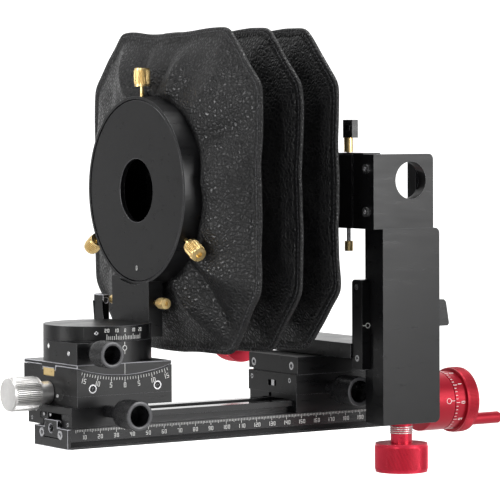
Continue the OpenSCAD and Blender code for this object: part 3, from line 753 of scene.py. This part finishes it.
# finishes that differ within one piece
def tint(node, rule, mats):
    """Paints the faces of a CAD node; rule gives a material number from a face's centre in mm."""
    o = nodes[node]
    o.data.materials.clear()
    for m in mats:
        o.data.materials.append(M[m])
    idx = [rule(p.center / MM) for p in o.data.polygons]
    o.data.polygons.foreach_set("material_index", idx)
    for md in o.modifiers:
        if md.type == "BEVEL":
            md.material = -1


def latch_rule(c):
    if c.z > 164.6:
        return 0
    if 156.5 < c.z < 165.4 or c.z < 108.0:
        return 1
    return 2


tint("latch_lever", latch_rule, ["knob", "brass", "steel"])
for n_ in ("index_collar", "handwheel", "crank_grip"):
    dress(n_, "red_dark", "red")

# ------------------------------------------------------------------ curved scale plate on the swing disc
def curved_plate(name, body, mat, centre, r0, r1, a0, a1, z0, z1, steps=48):
    verts, faces = [], []
    for k in range(steps + 1):
        a = math.radians(a0 + (a1 - a0) * k / steps)
        e = Vector((math.cos(a), math.sin(a), 0))
        for r, z in ((r0, z0), (r1, z0), (r1, z1), (r0, z1)):
            verts.append((Vector((centre[0], centre[1], z)) + e * r) * MM)
    for k in range(steps):
        for j in range(4):
            faces.append((k * 4 + j, (k + 1) * 4 + j, (k + 1) * 4 + (j + 1) % 4, k * 4 + (j + 1) % 4))
    faces += [(3, 2, 1, 0), tuple(steps * 4 + j for j in range(4))]
    o = mesh_obj(name, verts, faces, M[mat], smooth=False)
    b = o.modifiers.new("bevel", "BEVEL")
    b.width = 0.12 * MM
    b.segments = 2
    b.limit_method = "ANGLE"
    b.angle_limit = math.radians(40)
    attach(o, body)
    return o


curved_plate("swing_scale_plate", "lens_standard", "black", (-11.0, -89.5), 29.4, 30.0, -44, 42, 57.4, 64.3)

# graduations round the handwheel's barrel, with its index on the fixed collar
q = []
for k in range(50):
    a = 2 * math.pi * k / 50
    e = Vector((math.cos(a), 0, math.sin(a)))
    tang = Vector((-math.sin(a), 0, math.cos(a)))
    long = 2.6 if k % 5 == 0 else 1.5
    q.append(bar(Vector((0, 134.9 + long / 2, 10.3)) + e * 17.0, tang, (0, 1, 0), e, 0.30, long))
    if k % 5 == 0:
        q += digits(str(k // 5), Vector((0, 139.8, 10.3)) + e * 17.0, tang, (0, -1, 0), e, 2.6, 1.5, 0.36)
strokes_obj("handwheel_graduations", "handwheel", q)
a = math.radians(4)
e = Vector((math.cos(a), 0, math.sin(a)))
q = ring_mark(Vector((0, 129.6, 10.3)) + e * 17.0, (-math.sin(a), 0, math.cos(a)), (0, 1, 0), e, 1.4) + [bar(Vector((0, 132.6, 10.3)) + e * 17.0, (-math.sin(a), 0, math.cos(a)), (0, 1, 0), e, 0.34, 2.6)]
strokes_obj("collar_index", "rail_assembly", q)

# ------------------------------------------------------------------ stitches along the three outer folds
M["thread"] = paint("waxed_thread", (0.050, 0.050, 0.054), 0.5)


def stitches(name, body, i, count, inset=2.4):
    verts, faces = [], []
    half = 0.42 * 2 * math.pi / count
    for k in range(count):
        th = 2 * math.pi * (k + 0.5) / count
        ends = []
        for a in (th - half, th + half):
            r, y = rim_point(a, i, inset, -1.28)
            ends.append(Vector((CX + r * math.cos(a), y, CZ + r * math.sin(a))))
        p, q = ends
        t = (q - p).normalized()
        side = t.cross(Vector((0, 1, 0))).normalized()
        b = len(verts)
        for s, w, lift in ((0.0, 0.12, 0.15), (0.2, 0.26, -0.02), (0.5, 0.30, -0.12), (0.8, 0.26, -0.02), (1.0, 0.12, 0.15)):
            c = p.lerp(q, s) + Vector((0, lift, 0))
            for e in (side * w, Vector((0, -w * 0.8, 0)), -side * w):
                verts.append((c + e) * MM)
        for s in range(4):
            for j in range(2):
                v = b + s * 3 + j
                faces.append((v, v + 1, v + 4, v + 3))
    o = mesh_obj(name, verts, faces, M["thread"])
    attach(o, body)


for i_, body_ in enumerate(("bellows_02", "bellows_05", "bellows_09")):
    stitches("stitches_fold_%d" % (i_ + 1), body_, i_, 232)

# small fittings on the stage's front
def dot(name, body, mat, p, axis, r, t=0.5, hole=0.45):
    return lathe(name, body, mat, p, axis, [(0.0, r, 0), (t * 0.7, r, 0), (t, r - 0.18, 0), (t, r * hole, 0), (t * 0.1, r * hole, 0), (t * 0.1, 0.02, 0)], steps=32)


dot("stage_pin", "front_carriage", "steel", (-3.0, -119.0, 27.0), (0, -1, 0), 1.1, 0.4)
dot("swing_base_screw", "tilt_cradle", "steel", (9.6, -119.0, 50.7), (0, -1, 0), 1.3, 0.35)
dot("swing_plate_screw", "lens_standard", "steel", (-11 + 29.95 * math.cos(math.radians(-31)), -89.5 + 29.95 * math.sin(math.radians(-31)), 61.2), (math.cos(math.radians(-31)), math.sin(math.radians(-31)), 0), 1.0, 0.3)
q = [([(-12.7 - 1.2, -119, 53.6), (-12.7, -119, 52.1), (-12.7 + 1.2, -119, 53.6), (-12.7, -119, 55.1)], (0, -1, 0))]
strokes_obj("stage_index", "tilt_cradle", q)

for x_ in (-11.2, -4.3):
    dot("carriage_pin_%d" % round(-x_), "front_carriage", "steel", (x_, -122.7, 17.0), (0, -1, 0), 0.95, 0.35, 0.2)


# painted highlight: lighter rims on the open ends of the three lock knobs stand for the glint along each end
def rim(name, body, origin, r0, r1):
    o = lathe(name, body, "knob_rim_highlight", origin, (1, 0, 0), [(-0.30, r1 + 0.02, 0), (-0.05, r1 + 0.02, 0), (0.10, r1 - 0.18, 0), (0.12, (r0 + r1) / 2, 0), (0.10, r0 + 0.15, 0), (-0.15, r0 - 0.02, 0), (-0.5, r0 - 0.02, 0)], steps=96)
    return o


# painted highlight: the lighter black of the knob rims
M["knob_rim_highlight"] = anodised("lock_rim_painted_highlight", (0.050, 0.050, 0.054), (0.085, 0.085, 0.09), rough=0.30, bump=0.04)
rim("front_lock_rim", "front_lock_knob", (52.4, -100.5, 19.6), 5.7, 7.7)
rim("swing_lock_rim", "swing_lock_knob", (40.3, -109.8, 51.5), 5.1, 6.95)
rim("rear_lock_rim", "rear_lock_knob", (47.6, 44.6, 24.2), 6.2, 8.0)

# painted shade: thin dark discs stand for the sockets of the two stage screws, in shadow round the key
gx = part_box("gonio_screws")[1][0] * 1000
for y_ in (-109.4, -69.0):
    lathe("gonio_socket_shade_%d" % round(-y_), "front_carriage", "dark", (gx, y_, 31.9), (1, 0, 0), [(0.03, 1.75, 0), (0.06, 1.7, 0), (0.06, 0.85, 0), (0.03, 0.8, 0)], steps=40)


def rail_rule(c):
    # painted shade: the undercut dovetail grooves low on both sides of the rail take the dark recess colour
    if 0.7 < c.z < 4.25 and abs(c.x) > 12:
        return 2
    if c.z > 17.8:
        return 3
    return 0


tint("rail", rail_rule, ["rail_scale", "black_edge_highlight", "dark", "gloss"])
# the rail's bevel faces take the lighter edge black: a painted highlight along its edges
for md in nodes["rail"].modifiers:
    if md.type == "BEVEL":
        md.material = 1

# ------------------------------------------------------------------ stage and light
bpy.ops.mesh.primitive_plane_add(size=1)
bpy.data.objects.remove(bpy.context.object)
verts, faces = [], []
prof = [(-3.2, 0.0)] + [(1.6 + 0.9 * math.sin(a), 0.9 - 0.9 * math.cos(a)) for a in [math.radians(k * 6) for k in range(0, 16)]] + [(2.5, 3.4)]
cs, sn = math.cos(AZ), math.sin(AZ)
zf = -0.060
for k, (d, h) in enumerate(prof):
    for w in (-4.0, 4.0):
        x = -sn * d + cs * w
        y = cs * d + sn * w
        verts.append((x, y, zf + h))
for k in range(len(prof) - 1):
    faces.append((2 * k, 2 * k + 1, 2 * k + 3, 2 * k + 2))
tf = Tree("floor")
fn = tf.noise(3, 2, 0.5)
tf.to(tf.ramp(fn, [(0.3, (0.60, 0.60, 0.60)), (0.7, (0.62, 0.62, 0.62))]), "Base Color")
tf.set(Roughness=0.9, Specular_IOR_Level=0.0, Emission_Color=(1, 1, 1, 1))
fray = tf.n("ShaderNodeLightPath")
tf.to(tf.range(fray.outputs["Is Camera Ray"], 0, 1, 0.0, 0.9), "Emission Strength")
tb = Tree("backdrop")
bn = tb.noise(2, 2, 0.5)
tb.to(tb.ramp(bn, [(0.3, (0.60, 0.60, 0.60)), (0.7, (0.62, 0.62, 0.62))]), "Base Color")
tb.set(Roughness=0.9, Specular_IOR_Level=0.0, Emission_Color=(1, 1, 1, 1), Emission_Strength=0.95)
floor = mesh_obj("floor", verts, faces, [tf.mat, tb.mat])
floor.data.polygons.foreach_set("material_index", [0] + [1] * (len(faces) - 1))

world = bpy.data.worlds.new("world")
scene.world = world
world.use_nodes = True
wt = world.node_tree
wt.nodes["Background"].inputs[0].default_value = (1, 1, 1, 1)
ray = wt.nodes.new("ShaderNodeLightPath")
mr = wt.nodes.new("ShaderNodeMapRange")
mr.inputs["To Min"].default_value, mr.inputs["To Max"].default_value = 0.16, 1.0
wt.links.new(ray.outputs["Is Camera Ray"], mr.inputs["Value"])
wt.links.new(mr.outputs["Result"], wt.nodes["Background"].inputs[1])


def area(name, loc, target, size, power, size_y=None, colour=(1, 1, 1)):
    d = bpy.data.lights.new(name, "AREA")
    d.energy = power
    d.color = colour
    d.size = size
    if size_y:
        d.shape = "RECTANGLE"
        d.size_y = size_y
    o = link(bpy.data.objects.new(name, d))
    o.location = loc
    o.rotation_mode = "QUATERNION"
    o.rotation_quaternion = (Vector(target) - Vector(loc)).to_track_quat("-Z", "Y")
    return o


area("key_right", (1.05, 0.50, 0.36), (0, -0.04, 0.10), 0.5, 10.0, 0.7)
area("kicker", (0.78, -1.15, 0.44), (0, -0.05, 0.10), 0.20, 5.5, 0.30)
area("top", (0.10, 0.10, 1.3), (0, 0, 0.1), 0.7, 16.0, 0.7)
area("front", (-0.60, -0.85, 1.05), (0, 0, 0.14), 0.40, 3.0, 0.40)
area("front_low", (-0.34, -1.22, 0.26), (0, -0.04, 0.14), 0.30, 6.0, 0.30)
scene.view_settings.view_transform = "Standard"
